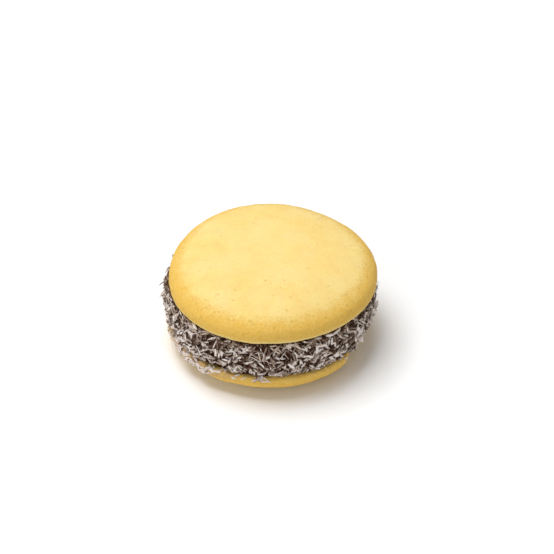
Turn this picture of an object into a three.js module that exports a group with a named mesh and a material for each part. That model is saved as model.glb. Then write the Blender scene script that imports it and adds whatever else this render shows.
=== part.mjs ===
/*
 * Cornflour sandwich biscuit (alfajor).
 *
 * Two soft domed biscuits face each other with their flat sides in. A thick disc
 * of milk caramel lies between them, and grated coconut is pressed all round the
 * side of the caramel. Nothing here is quite round: each biscuit has its own
 * outline and a gently rolling dome, and each sits a little off the middle.
 *
 * Millimetres, +Z up. The sandwich stands on the small flat spot under its lower
 * biscuit, and the origin is the middle of its bounding box, on that level.
 */
import * as THREE from "three";
import { mergeVertices } from "three/addons/utils/BufferGeometryUtils.js";

// Driving dimensions
const COAT_RADIUS = 31; // outside of the coconut, at the middle of its height
const COAT_THICKNESS = 1.4;
const FILLING_HEIGHT = 12.1;
const BARREL = 1.2; // the side's radius is this much less at its upper and lower edge
const BARREL_POWER = 2.5; // more keeps the side straighter before it turns in
const SEAT_GAP = 0.3; // between the caramel and the coconut round it
const EDGE_ROUND = 1.2; // rounding between a biscuit's flat side and its rim

// Each biscuit: `round` and `crown` are the exponents of its dome's curve across
// and upwards, where 2 is an ellipse and more is squarer. `outline` lists
// [waves, cosine share, sine share] of its radius, and `shift` is its place.
// `restSpot` is the radius of the flat spot at its crown that it stands on.
const LOWER_BISCUIT = {
  name: "biscuit_bottom",
  radius: 29.9,
  height: 8.2,
  round: 2.62,
  crown: 2.45,
  outline: [
    [2, -0.0075, 0.0005],
    [5, 0.002, 0.003],
  ],
  shift: [-0.35, -0.65],
  phase: 1.3,
  restSpot: 10,
};
const UPPER_BISCUIT = {
  name: "biscuit_top",
  radius: 30.05,
  height: 9.3,
  round: 2.7,
  crown: 2.62,
  outline: [
    [3, 0.0125, -0.0065],
    [4, 0.0015, 0.002],
  ],
  shift: [0.6, 0.1],
  phase: 0,
  restSpot: 0,
};

// A biscuit's dome rolls by about this much, in crossing waves. The first is this
// long, and each further one is shorter, by this share of the first one's count.
const ROLL_DEPTH = 0.09;
const ROLL_LENGTH = 24;
const ROLL_WAVES = 5;
const ROLL_QUICKENING = 0.3;

// The coconut's outside is bumpy by about this much. Its first wave has this many
// bumps round the side, each further one has this many more and is this much
// lower, and the waves lean one way and the other by these angles from edge to edge.
const BUMP_DEPTH = 0.15;
const BUMP_WAVES = 6;
const BUMP_COUNT = 7;
const BUMP_COUNT_STEP = 5;
const BUMP_FADING = 0.6;
const BUMP_LEANS = [-4, 5];

const GOLDEN_ANGLE = Math.PI * (3 - Math.sqrt(5));
const SEGMENTS = 72; // round the middle
const DOME_STEPS = 13; // from rim to crown
const SIDE_STEPS = 6; // up the side of the filling and the coat
const REST_MARGIN = 1.2; // the dome's own points stay this far out from the flat spot
const TOUCHING = 0.01; // two levels this near are the same level

const LOWER_FACE = LOWER_BISCUIT.height; // level of the lower biscuit's flat side
const UPPER_FACE = LOWER_FACE + FILLING_HEIGHT; // level of the upper one's

const COLOURS = {
  biscuit: "#efc766",
  caramel: "#3a2015",
  coconut: "#b9aaa0",
};

function finish(color, roughness) {
  return new THREE.MeshStandardMaterial({ color, roughness, metalness: 0 });
}

/** Radius share of an uneven outline at an angle: 1 all round is a true circle. */
function outlineShare(outline, angle) {
  return outline.reduce(
    (share, [waves, cosine, sine]) =>
      share + cosine * Math.cos(waves * angle) + sine * Math.sin(waves * angle),
    1,
  );
}

/** Gentle rise and fall of a baked dome at a place seen from above. */
function roll(x, y, phase) {
  let height = 0;
  for (let k = 0; k < ROLL_WAVES; k++) {
    const heading = k * GOLDEN_ANGLE + phase;
    const length = ROLL_LENGTH / (1 + ROLL_QUICKENING * k);
    const along = x * Math.cos(heading) + y * Math.sin(heading);
    height += Math.sin((2 * Math.PI * along) / length + k + phase) / (1 + k);
  }
  return ROLL_DEPTH * height;
}

/** Rough bumps of pressed coconut at an angle and a share of the side's height. */
function bumps(angle, share) {
  let depth = 0;
  for (let k = 0; k < BUMP_WAVES; k++) {
    const count = BUMP_COUNT + BUMP_COUNT_STEP * k;
    const lean = BUMP_LEANS[k % 2] * share;
    depth += Math.sin(count * angle + lean + k * GOLDEN_ANGLE) / (1 + BUMP_FADING * k);
  }
  return BUMP_DEPTH * depth;
}

/** Radius of the barrel-shaped side at a share of its height, from 0 to 1. */
function sideRadius(widest, share) {
  return widest - BARREL * Math.abs(2 * share - 1) ** BARREL_POWER;
}

/** Profile of that side, from the lower biscuit's face up to the upper one's. */
function sideProfile(widest) {
  const profile = [];
  for (let k = 0; k <= SIDE_STEPS; k++) {
    const share = k / SIDE_STEPS;
    profile.push([sideRadius(widest, share), LOWER_FACE + share * FILLING_HEIGHT]);
  }
  return profile;
}

/** Turns a profile of [radius, height] points into a closed surface round Z. */
function turned(profile) {
  const points = profile.map(([radius, height]) => new THREE.Vector2(radius, height));
  const lathe = new THREE.LatheGeometry(points, SEGMENTS);
  lathe.rotateX(Math.PI / 2);
  lathe.deleteAttribute("normal");
  lathe.deleteAttribute("uv");
  return mergeVertices(lathe);
}

/** Moves every vertex: `place(radius, angle, height)` gives its new x, y and z. */
function reshape(geometry, place) {
  const position = geometry.getAttribute("position");
  for (let i = 0; i < position.count; i++) {
    const x = position.getX(i);
    const y = position.getY(i);
    position.setXYZ(i, ...place(Math.hypot(x, y), Math.atan2(y, x), position.getZ(i)));
  }
  geometry.computeVertexNormals();
  return geometry;
}

/** Half outline of a biscuit, from the middle of its flat side out and over its dome. */
function biscuitProfile({ radius, height, round, crown, restSpot }) {
  const dome = height - EDGE_ROUND;
  const halfway = EDGE_ROUND * (1 - Math.SQRT1_2);
  const profile = [
    [0, 0],
    [radius - EDGE_ROUND, 0],
    [radius - halfway, halfway],
  ];
  for (let k = 0; k < DOME_STEPS; k++) {
    const t = (k / DOME_STEPS) * (Math.PI / 2);
    const across = radius * Math.cos(t) ** (2 / round);
    const up = EDGE_ROUND + dome * Math.sin(t) ** (2 / crown);
    if (across > REST_MARGIN * restSpot) {
      profile.push([across, up]);
    }
  }
  if (restSpot > 0) {
    profile.push([restSpot, height]);
  }
  profile.push([0, height]);
  return profile;
}

/** One biscuit. `up` is 1 with the dome on top and -1 with the dome underneath. */
function biscuit(spec, face, up) {
  const profile = biscuitProfile(spec);
  const placed = profile.map(([radius, height]) => [radius, face + up * height]);
  const geometry = turned(up > 0 ? placed : placed.reverse());
  const [shiftX, shiftY] = spec.shift;
  reshape(geometry, (radius, angle, level) => {
    const wide = radius * outlineShare(spec.outline, angle);
    const x = wide * Math.cos(angle);
    const y = wide * Math.sin(angle);
    const depth = Math.abs(level - face);
    const resting = spec.restSpot > 0 && depth > spec.height - TOUCHING;
    const rise = resting ? depth : depth + (depth / spec.height) * roll(x, y, spec.phase);
    return [x + shiftX, y + shiftY, face + up * rise];
  });
  const mesh = new THREE.Mesh(geometry, finish(COLOURS.biscuit, 0.85));
  mesh.name = spec.name;
  return mesh;
}

/** The disc of caramel, with a slightly barrelled side. */
function caramelFilling() {
  const widest = COAT_RADIUS - COAT_THICKNESS - SEAT_GAP;
  const geometry = turned([[0, LOWER_FACE], ...sideProfile(widest), [0, UPPER_FACE]]);
  geometry.computeVertexNormals();
  const mesh = new THREE.Mesh(geometry, finish(COLOURS.caramel, 0.35));
  mesh.name = "caramel_filling";
  return mesh;
}

/** The ring of pressed coconut round the caramel, with a bumpy outside. */
function coconutCoat() {
  const inside = COAT_RADIUS - COAT_THICKNESS;
  const outerSide = sideProfile(COAT_RADIUS);
  const innerSide = sideProfile(inside).reverse();
  const geometry = turned([...outerSide, ...innerSide, outerSide[0]]);
  reshape(geometry, (radius, angle, level) => {
    const share = (level - LOWER_FACE) / FILLING_HEIGHT;
    const outer = radius > sideRadius(inside, share) + COAT_THICKNESS / 2;
    const wide = radius + (outer ? bumps(angle, share) : 0);
    return [wide * Math.cos(angle), wide * Math.sin(angle), level];
  });
  const mesh = new THREE.Mesh(geometry, finish(COLOURS.coconut, 0.7));
  mesh.name = "coconut_coat";
  return mesh;
}

const alfajor = new THREE.Group();
alfajor.add(
  biscuit(LOWER_BISCUIT, LOWER_FACE, -1),
  caramelFilling(),
  coconutCoat(),
  biscuit(UPPER_BISCUIT, UPPER_FACE, 1),
);

// The bounding box's middle comes to the origin, and the level stays as it is.
const middle = new THREE.Box3().setFromObject(alfajor, true).getCenter(new THREE.Vector3());
alfajor.position.set(-middle.x, -middle.y, 0);

const part = new THREE.Group();
part.add(alfajor);

export default part;
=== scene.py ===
"""Alfajor: two soft cornflour biscuits, milk caramel, and grated coconut round its side.

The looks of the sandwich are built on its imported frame, in metres, +Z up. It stands
on the floor at height 0, and the Z axis runs up its middle.
"""

import logging
import math
from collections.abc import Iterator
from dataclasses import dataclass, field, replace
from enum import Enum

import bmesh
import bpy
import numpy as np
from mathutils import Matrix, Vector, noise
from mathutils.bvhtree import BVHTree
from mathutils.kdtree import KDTree


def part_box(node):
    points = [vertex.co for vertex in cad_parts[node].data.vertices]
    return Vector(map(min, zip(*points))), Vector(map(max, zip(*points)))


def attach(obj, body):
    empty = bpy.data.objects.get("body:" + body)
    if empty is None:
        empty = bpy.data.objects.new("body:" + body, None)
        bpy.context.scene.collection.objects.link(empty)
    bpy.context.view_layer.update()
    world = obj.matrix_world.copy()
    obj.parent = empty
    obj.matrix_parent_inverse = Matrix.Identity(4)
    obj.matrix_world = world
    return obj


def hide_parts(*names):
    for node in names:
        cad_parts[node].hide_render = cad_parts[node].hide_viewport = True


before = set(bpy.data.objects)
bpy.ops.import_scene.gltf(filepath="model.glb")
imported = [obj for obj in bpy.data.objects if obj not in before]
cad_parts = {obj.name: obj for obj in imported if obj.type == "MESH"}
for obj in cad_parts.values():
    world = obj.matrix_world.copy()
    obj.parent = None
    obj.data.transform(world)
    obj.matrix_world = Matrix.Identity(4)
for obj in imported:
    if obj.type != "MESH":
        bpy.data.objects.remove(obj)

LOG = logging.getLogger("alfajor")
Array = np.ndarray
Colour = tuple[float, float, float]
Socket = bpy.types.NodeSocket
MM = 0.001
BODY = "root"
GOLDEN_ANGLE = math.pi * (3 - math.sqrt(5))

# The same seeds give the same sandwich each time.
PORE_SEED = 11
COAT_SEED = 7
LOOSE_SEED = 23

NOISE_RANGE = (0.3, 0.7)  # most of a noise texture's values lie between these
FLECK_FADE = (0.42, 0.2)  # a fleck is gone at the first distance, and whole within the second

CIRCLE_POINTS = 721  # round an outline
CURVE_POINTS = 2000  # along a dome, before they are spaced evenly
CORNER_POINTS = 40  # round the edge by its flat side

STATIONS = 5  # where each bit is tried against the pile
REACH = 6 * MM  # how far out a bit starts before it is pressed in


class Slot(Enum):
    """The record's material slots."""

    BISCUIT = "biscuit"
    CARAMEL = "caramel"
    COCONUT = "coconut"


# ---------------------------------------------------------------- small helpers


def smooth_step(low: float, high: float, values: Array) -> Array:
    """Eases from 0 at `low` to 1 at `high`."""
    share = np.clip((values - low) / (high - low), 0.0, 1.0)
    return share * share * (3.0 - 2.0 * share)


def ripple(places: Array, length: float, seed: float = 0.0) -> Array:
    """Smooth noise over places in space.

    Args:
        places: Points, one row each, in metres.
        length: About how long one rise and fall is, in metres.
        seed: Any number; another one gives another pattern.

    Returns:
        One value from about -1 to 1 for each point.
    """
    shift = Vector((seed, 2.7 * seed, -1.3 * seed))
    return np.array([noise.noise(Vector(p) / length + shift) for p in places])


def across(first: Array, second: Array) -> Array:
    """The direction at right angles to both, row by row, at length 1."""
    square = np.cross(first, second)
    return square / np.linalg.norm(square, axis=-1, keepdims=True)


def near(angle: Array, middle: float, width: float) -> Array:
    """How near each angle is to a middle one: 1 there, and fading to 0 on both sides."""
    off = np.remainder(angle - middle + math.pi, 2 * math.pi) - math.pi
    return np.exp(-((off / width) ** 2))


def write_attribute(mesh: bpy.types.Mesh, name: str, values: Array) -> None:
    """Stores one number for each vertex under a name that a finish reads."""
    layer = mesh.attributes.new(name, "FLOAT", "POINT")
    layer.data.foreach_set("value", values.astype(np.float32))


def as_piece(mesh: bpy.types.Mesh, finish: bpy.types.Material, slot: Slot) -> bpy.types.Object:
    """Makes a finished mesh a piece of the sandwich.

    Args:
        mesh: The mesh, in place; its name becomes the piece's.
        finish: The material it wears.
        slot: The record's material slot it belongs to; not used.

    Returns:
        The new object, riding on the sandwich's one body.
    """
    piece = bpy.data.objects.new(mesh.name, mesh)
    bpy.context.scene.collection.objects.link(piece)
    mesh.materials.append(finish)
    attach(piece, BODY)
    return piece


# ---------------------------------------------------------------- node helpers


class Nodes:
    """Adds nodes to one tree and joins them."""

    def __init__(self, tree: bpy.types.NodeTree) -> None:
        """Works on `tree`."""
        self.tree = tree

    def add(self, kind: str, **settings: object) -> bpy.types.Node:
        """Adds a node.

        Args:
            kind: The node's type.
            settings: Values for its properties, by name.

        Returns:
            The new node.
        """
        node = self.tree.nodes.new(kind)
        for name, value in settings.items():
            setattr(node, name, value)
        return node

    def feed(self, target: Socket, source: Socket | float | Colour) -> None:
        """Joins a socket to another one, or sets its plain value.

        Args:
            target: The socket to feed.
            source: Another socket, a number or a colour.
        """
        if isinstance(source, bpy.types.NodeSocket):
            self.tree.links.new(source, target)
        elif isinstance(source, tuple) and len(target.default_value) == 4:
            target.default_value = (*source, 1.0)
        else:
            target.default_value = source

    def maths(self, operation: str, *values: Socket | float) -> Socket:
        """Works out a number.

        Args:
            operation: What a Math node is to do.
            values: What it does it with, in the order of its inputs.

        Returns:
            The result.
        """
        node = self.add("ShaderNodeMath", operation=operation)
        for target, value in zip(node.inputs, values):
            self.feed(target, value)
        return node.outputs[0]

    def scaled(self, place: Socket, size: Socket | float) -> Socket:
        """Measures a place in units of a pattern's own size.

        Args:
            place: The place, in metres.
            size: The unit, in metres.

        Returns:
            The place in those units.
        """
        inverse = self.maths("DIVIDE", 1.0, size)
        node = self.add("ShaderNodeVectorMath", operation="SCALE")
        self.feed(node.inputs[0], place)
        self.feed(node.inputs["Scale"], inverse)
        return node.outputs[0]

    def eased(
        self, value: Socket, low: float, high: float, to: tuple[float, float] = (0.0, 1.0)
    ) -> Socket:
        """Maps one range smoothly onto another.

        Args:
            value: What is mapped.
            low: What becomes the new range's first number.
            high: What becomes its second number.
            to: The new range.

        Returns:
            The mapped value, which stays inside the new range.
        """
        node = self.add("ShaderNodeMapRange", interpolation_type="SMOOTHSTEP")
        for name, number in zip(("From Min", "From Max", "To Min", "To Max"), (low, high, *to)):
            node.inputs[name].default_value = number
        self.feed(node.inputs["Value"], value)
        return node.outputs["Result"]

    def blend(
        self, share: Socket | float, first: Socket | Colour, second: Socket | Colour
    ) -> Socket:
        """Mixes two colours.

        Args:
            share: How much of the second one there is.
            first: The one at 0.
            second: The one at 1.

        Returns:
            The mixed colour.
        """
        node = self.add("ShaderNodeMix", data_type="RGBA")
        sockets = {s.identifier: s for s in node.inputs}
        self.feed(sockets["Factor_Float"], share)
        self.feed(sockets["A_Color"], first)
        self.feed(sockets["B_Color"], second)
        return next(s for s in node.outputs if s.identifier == "Result_Color")

    def attribute(self, name: str) -> Socket:
        """The number that a mesh holds under this name."""
        return self.add("ShaderNodeAttribute", attribute_name=name).outputs["Fac"]

    def place(self) -> Socket:
        """Where a point lies on the piece."""
        return self.add("ShaderNodeTexCoord").outputs["Object"]

    def group(self, tree: bpy.types.NodeTree, **values: Socket | float) -> bpy.types.Node:
        """Places a node group.

        Args:
            tree: The group.
            values: What feeds its inputs, by name in small letters.

        Returns:
            The group's node.
        """
        node = self.add("ShaderNodeGroup")
        node.node_tree = tree
        for name, value in values.items():
            self.feed(node.inputs[name.replace("_", " ").title()], value)
        return node

    def bump(self, height: Socket, depth: float, normal: Socket | None = None) -> Socket:
        """Leans a normal with a height map.

        Args:
            height: The height map, from 0 to 1.
            depth: How deep it is, in metres.
            normal: A normal that already leans with another one.

        Returns:
            The leaning normal.
        """
        node = self.add("ShaderNodeBump")
        node.inputs["Distance"].default_value = depth
        self.feed(node.inputs["Height"], height)
        if normal is not None:
            self.feed(node.inputs["Normal"], normal)
        return node.outputs["Normal"]


def new_group(
    name: str, inputs: dict[str, str], outputs: dict[str, str]
) -> tuple[Nodes, bpy.types.bpy_prop_collection, bpy.types.bpy_prop_collection]:
    """Starts a shader node group.

    Args:
        name: The group's name.
        inputs: Each input's name and kind of socket.
        outputs: Each output's name and kind of socket.

    Returns:
        Its nodes, the outputs of its input node and the inputs of its output node.
    """
    tree = bpy.data.node_groups.new(name, "ShaderNodeTree")
    for label, kind in inputs.items():
        tree.interface.new_socket(label, in_out="INPUT", socket_type=kind)
    for label, kind in outputs.items():
        tree.interface.new_socket(label, in_out="OUTPUT", socket_type=kind)
    nodes = Nodes(tree)
    return nodes, nodes.add("NodeGroupInput").outputs, nodes.add("NodeGroupOutput").inputs


def mottle_group() -> bpy.types.NodeTree:
    """Makes soft patches of one size.

    Returns:
        A group that puts them out as a mask from 0 to 1 and as a height.
    """
    nodes, given, made = new_group(
        "mottle",
        {"Place": "NodeSocketVector", "Size": "NodeSocketFloat", "Detail": "NodeSocketFloat"},
        {"Mask": "NodeSocketFloat", "Height": "NodeSocketFloat"},
    )
    texture = nodes.add("ShaderNodeTexNoise", noise_dimensions="3D")
    texture.inputs["Scale"].default_value = 1.0
    nodes.feed(texture.inputs["Vector"], nodes.scaled(given["Place"], given["Size"]))
    nodes.feed(texture.inputs["Detail"], given["Detail"])
    nodes.feed(made["Mask"], nodes.eased(texture.outputs["Fac"], *NOISE_RANGE))
    nodes.feed(made["Height"], texture.outputs["Fac"])
    return nodes.tree


def fleck_group() -> bpy.types.NodeTree:
    """Makes scattered round flecks.

    Returns:
        A group that puts out a mask of them, where a share of its cells holds one each.
    """
    nodes, given, made = new_group(
        "flecks",
        {"Place": "NodeSocketVector", "Size": "NodeSocketFloat", "Share": "NodeSocketFloat"},
        {"Mask": "NodeSocketFloat"},
    )
    cells = nodes.add("ShaderNodeTexVoronoi", feature="F1")
    cells.inputs["Scale"].default_value = 1.0
    nodes.feed(cells.inputs["Vector"], nodes.scaled(given["Place"], given["Size"]))
    split = nodes.add("ShaderNodeSeparateColor")
    nodes.feed(split.inputs["Color"], cells.outputs["Color"])
    held = nodes.maths("LESS_THAN", split.outputs["Red"], given["Share"])
    spot = nodes.eased(cells.outputs["Distance"], *FLECK_FADE)
    nodes.feed(made["Mask"], nodes.maths("MULTIPLY", held, spot))
    return nodes.tree


@dataclass(frozen=True)
class Effects:
    """The node groups that several finishes share."""

    mottle: bpy.types.NodeTree
    flecks: bpy.types.NodeTree


def new_finish(name: str) -> tuple[bpy.types.Material, Nodes, bpy.types.Node]:
    """Starts a material.

    Args:
        name: Its name.

    Returns:
        The material, its nodes and its Principled shader.
    """
    material = bpy.data.materials.new(name)
    material.use_nodes = True
    nodes = Nodes(material.node_tree)
    return material, nodes, material.node_tree.nodes["Principled BSDF"]


# ---------------------------------------------------------------- finishes


@dataclass(frozen=True)
class BiscuitFinish:
    """Pale baked cornflour dough: soft patches on the crown, a browner and grainier rim."""

    name: str
    crown: Colour = (0.885, 0.675, 0.222)
    warm: Colour = (0.885, 0.612, 0.205)
    rim: Colour = (0.81, 0.465, 0.055)
    sand: Colour = (0.70, 0.44, 0.09)
    speck: Colour = (0.62, 0.36, 0.06)
    # The pits are painted in this darker colour: painted shade in them.
    pore_shade: Colour = (0.55, 0.28, 0.05)
    pale: Colour = (0.91, 0.74, 0.35)
    stain: Colour = (0.58, 0.38, 0.17)
    roughness: float = 0.8
    rough_spread: float = 0.1  # how much rougher and smoother than that it is in places
    specular: float = 0.3
    cloud_size: float = 9 * MM
    patch_size: float = 3.2 * MM
    grain_size: float = 0.7 * MM
    crumb_size: float = 0.35 * MM
    speck_size: float = 1.2 * MM
    speck_share: float = 0.18  # of the places that can hold one
    grain_depth: float = 0.08 * MM
    crumb_depth: float = 0.05 * MM
    warm_strength: float = 0.8
    pale_strength: float = 0.45
    pore_shade_strength: float = 0.4
    grain_shares: tuple[float, float] = (0.12, 0.5)  # how strong it is on the crown and the rim
    grainy_rim: float = 0.6  # how browned it is where that second share is reached
    toasted: tuple[float, float] = (0.7, 1.6)  # where the rim's colour begins and is whole
    toasted_patches: float = 0.8  # how much patches and grain move that
    toasted_grain: float = 0.4
    soaked: tuple[float, float] = (1.2, 2.1)  # where the stain begins and is whole
    soaked_edge: float = 1.3  # how much the stained stretch itself, and then grain, moves that
    soaked_grain: float = 0.8

    def material(self, effects: Effects) -> bpy.types.Material:
        """Builds the finish.

        Args:
            effects: The shared node groups.

        Returns:
            A material that reads the mesh's `baked`, `pore_shade` and `stained` numbers.
        """
        material, nodes, shader = new_finish(self.name)
        place, baked = nodes.place(), nodes.attribute("baked")
        patch = nodes.group(effects.mottle, place=place, size=self.patch_size, detail=4.0)
        cloud = nodes.group(effects.mottle, place=place, size=self.cloud_size, detail=2.0)
        grain = nodes.group(effects.mottle, place=place, size=self.grain_size, detail=3.0)
        crumb = nodes.group(effects.mottle, place=place, size=self.crumb_size, detail=1.0)
        specks = nodes.group(
            effects.flecks, place=place, size=self.speck_size, share=self.speck_share
        )
        grainy = nodes.eased(baked, 0.0, self.grainy_rim, self.grain_shares)

        toasted = nodes.maths("MULTIPLY_ADD", patch.outputs["Height"], self.toasted_patches, baked)
        toasted = nodes.maths("MULTIPLY_ADD", grain.outputs["Height"], self.toasted_grain, toasted)
        stained = nodes.attribute("stained")
        stained = nodes.maths("MULTIPLY_ADD", stained, self.soaked_edge, patch.outputs["Height"])
        stained = nodes.maths("MULTIPLY_ADD", grain.outputs["Height"], self.soaked_grain, stained)
        colour = self.crown
        for share, over in (
            (nodes.maths("MULTIPLY", patch.outputs["Mask"], self.warm_strength), self.warm),
            (nodes.maths("MULTIPLY", cloud.outputs["Mask"], self.pale_strength), self.pale),
            (nodes.eased(toasted, *self.toasted), self.rim),
            (nodes.maths("MULTIPLY", crumb.outputs["Mask"], grainy), self.crown),
            (nodes.maths("MULTIPLY", grain.outputs["Mask"], grainy), self.sand),
            (nodes.maths("MULTIPLY", specks.outputs["Mask"], grainy), self.speck),
            # Painted shade: the pits are made darker.
            (nodes.maths("MULTIPLY", nodes.attribute("pore_shade"), self.pore_shade_strength), self.pore_shade),
            (nodes.eased(stained, *self.soaked), self.stain),
        ):
            colour = nodes.blend(share, colour, over)
        nodes.feed(shader.inputs["Base Color"], colour)

        spread = (self.roughness - self.rough_spread, self.roughness + self.rough_spread)
        rough = nodes.eased(grain.outputs["Height"], *NOISE_RANGE, spread)
        nodes.feed(shader.inputs["Roughness"], rough)
        fine = nodes.bump(crumb.outputs["Height"], self.crumb_depth)
        normal = nodes.bump(grain.outputs["Height"], self.grain_depth, fine)
        nodes.feed(shader.inputs["Normal"], normal)
        shader.inputs["Specular IOR Level"].default_value = self.specular
        return material


@dataclass(frozen=True)
class CaramelFinish:
    """Dark, sticky milk caramel with a wet shine."""

    name: str = "milk_caramel"
    dark: Colour = (0.022, 0.007, 0.0025)
    light: Colour = (0.075, 0.025, 0.009)
    roughness: tuple[float, float] = (0.45, 0.75)
    specular: float = 0.1
    lump_size: float = 2.4 * MM
    lump_depth: float = 0.3 * MM
    fine_size: float = 0.5 * MM
    fine_depth: float = 0.06 * MM

    def material(self, effects: Effects) -> bpy.types.Material:
        """Builds the finish.

        Args:
            effects: The shared node groups.

        Returns:
            The material.
        """
        material, nodes, shader = new_finish(self.name)
        place = nodes.place()
        lumps = nodes.group(effects.mottle, place=place, size=self.lump_size, detail=3.0)
        fine = nodes.group(effects.mottle, place=place, size=self.fine_size, detail=2.0)
        colour = nodes.blend(lumps.outputs["Mask"], self.dark, self.light)
        nodes.feed(shader.inputs["Base Color"], colour)
        rough = nodes.eased(fine.outputs["Height"], *NOISE_RANGE, self.roughness)
        nodes.feed(shader.inputs["Roughness"], rough)
        soft = nodes.bump(fine.outputs["Height"], self.fine_depth)
        normal = nodes.bump(lumps.outputs["Height"], self.lump_depth, soft)
        nodes.feed(shader.inputs["Normal"], normal)
        shader.inputs["Specular IOR Level"].default_value = self.specular
        return material


@dataclass(frozen=True)
class CoconutFinish:
    """Dried coconut: off-white where it is dry, tan where the caramel soaks it."""

    name: str = "grated_coconut"
    soaked: Colour = (0.085, 0.040, 0.022)
    damp: Colour = (0.39, 0.283, 0.212)
    dry: Colour = (0.88, 0.795, 0.74)
    husk: Colour = (0.30, 0.17, 0.09)
    roughness: tuple[float, float] = (0.5, 0.72)
    specular: float = 0.3
    patch_size: float = 5 * MM
    patch_tone: float = 0.22  # how much drier the patches are
    fibre_size: float = 0.35 * MM
    fibre_tone: float = 0.16
    fibre_depth: float = 0.05 * MM
    husk_size: float = 1.5 * MM
    husk_share: float = 0.06  # of the places that can hold one
    husk_strength: float = 0.5
    damping: tuple[float, float] = (0.2, 0.7)  # the tones from soaked to damp
    drying: tuple[float, float] = (0.55, 1.1)  # and from damp to dry

    def material(self, effects: Effects) -> bpy.types.Material:
        """Builds the finish.

        Args:
            effects: The shared node groups.

        Returns:
            A material that reads the mesh's `tone`, from 0 soaked to 1 dry.
        """
        material, nodes, shader = new_finish(self.name)
        place = nodes.place()
        patch = nodes.group(effects.mottle, place=place, size=self.patch_size, detail=2.0)
        fibre = nodes.group(effects.mottle, place=place, size=self.fibre_size, detail=2.0)
        husks = nodes.group(
            effects.flecks, place=place, size=self.husk_size, share=self.husk_share
        )
        tone = nodes.attribute("tone")
        tone = nodes.maths("MULTIPLY_ADD", patch.outputs["Mask"], self.patch_tone, tone)
        tone = nodes.maths("MULTIPLY_ADD", fibre.outputs["Mask"], self.fibre_tone, tone)
        husk = nodes.maths("MULTIPLY", husks.outputs["Mask"], self.husk_strength)
        colour = nodes.blend(nodes.eased(tone, *self.damping), self.soaked, self.damp)
        colour = nodes.blend(nodes.eased(tone, *self.drying), colour, self.dry)
        nodes.feed(shader.inputs["Base Color"], nodes.blend(husk, colour, self.husk))
        rough = nodes.eased(fibre.outputs["Height"], *NOISE_RANGE, self.roughness)
        nodes.feed(shader.inputs["Roughness"], rough)
        nodes.feed(shader.inputs["Normal"], nodes.bump(fibre.outputs["Height"], self.fibre_depth))
        shader.inputs["Specular IOR Level"].default_value = self.specular
        return material


# ---------------------------------------------------------------- biscuits


@dataclass(frozen=True)
class Outline:
    """The uneven outline of a hand-cut biscuit, seen from above.

    Each wave is (count round the biscuit, cosine share, sine share).
    """

    waves: tuple[tuple[int, float, float], ...]

    def share(self, angle: Array) -> Array:
        """Measures the outline.

        Args:
            angle: Angles round the biscuit.

        Returns:
            The radius at each of them, as a share of a true circle's.
        """
        total = np.ones_like(angle)
        for count, cosine, sine in self.waves:
            total += cosine * np.cos(count * angle) + sine * np.sin(count * angle)
        return total

    def fit(self, low: Vector, high: Vector) -> tuple[float, Array]:
        """Finds the circle whose uneven outline just fills a box.

        Args:
            low: The box's lowest corner.
            high: The box's highest corner.

        Returns:
            The circle's radius, and its middle as x and y.
        """
        angle = np.linspace(0.0, 2.0 * math.pi, CIRCLE_POINTS)
        reach = np.stack([np.cos(angle), np.sin(angle)]) * self.share(angle)
        size = np.array([high.x - low.x, high.y - low.y])
        radius = float((size / np.ptp(reach, axis=1)).mean())
        double = np.array([high.x + low.x, high.y + low.y])
        return radius, (double - radius * (reach.max(1) + reach.min(1))) / 2


@dataclass(frozen=True)
class Dome:
    """Half outline of a biscuit: over its crown and rim, and under its lower edge.

    `round` and `crown` are the exponents of the curve across and upwards, where 2
    is an ellipse and more is squarer.
    """

    radius: float
    height: float
    round: float
    crown: float
    edge: float = 1.2 * MM  # rounding between the rim and the flat side
    lip: float = 1.5 * MM  # how far the sheet runs in over the flat side

    def profile(self, steps: int) -> tuple[Array, Array]:
        """Evenly spaced points from the crown out, down and a little way back in.

        Args:
            steps: How many spaces there are between the points.

        Returns:
            Each point's distance from the middle, and its height over the flat side.
        """
        turn = np.linspace(math.pi / 2, 0.0, CURVE_POINTS)
        out = self.radius * np.cos(turn) ** (2 / self.round)
        up = self.edge + (self.height - self.edge) * np.sin(turn) ** (2 / self.crown)
        out[0] = 0.0
        corner = np.linspace(0.0, math.pi / 2, CORNER_POINTS)[1:]
        out = np.append(out, self.radius - self.edge * (1 - np.cos(corner)))
        up = np.append(up, self.edge * (1 - np.sin(corner)))
        out = np.append(out, out[-1] - self.lip)
        up = np.append(up, 0.0)
        length = np.append(0.0, np.cumsum(np.hypot(np.diff(out), np.diff(up))))
        even = np.linspace(0.0, length[-1], steps + 1)
        return np.interp(even, length, out), np.interp(even, length, up)


@dataclass(frozen=True)
class Pores:
    """Small pits that steam leaves in a crust."""

    count: int
    size: tuple[float, float] = (0.22 * MM, 0.6 * MM)
    depth: float = 0.3  # of a pore's own radius
    rimward: float = 2.0  # 1 spreads them evenly, and more leaves fewer near the crown


@dataclass(frozen=True)
class Relief:
    """One size of unevenness in a crust."""

    length: float  # of a rise and fall
    seed: float
    crown: float  # how high it is on the crown
    rim: float  # and how much higher on the rim


CRUST = (
    Relief(6.5 * MM, 0.0, 0.07 * MM, 0.0),
    Relief(1.0 * MM, 3.0, 0.014 * MM, 0.045 * MM),
    Relief(0.5 * MM, 5.0, 0.010 * MM, 0.035 * MM),
)


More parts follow.
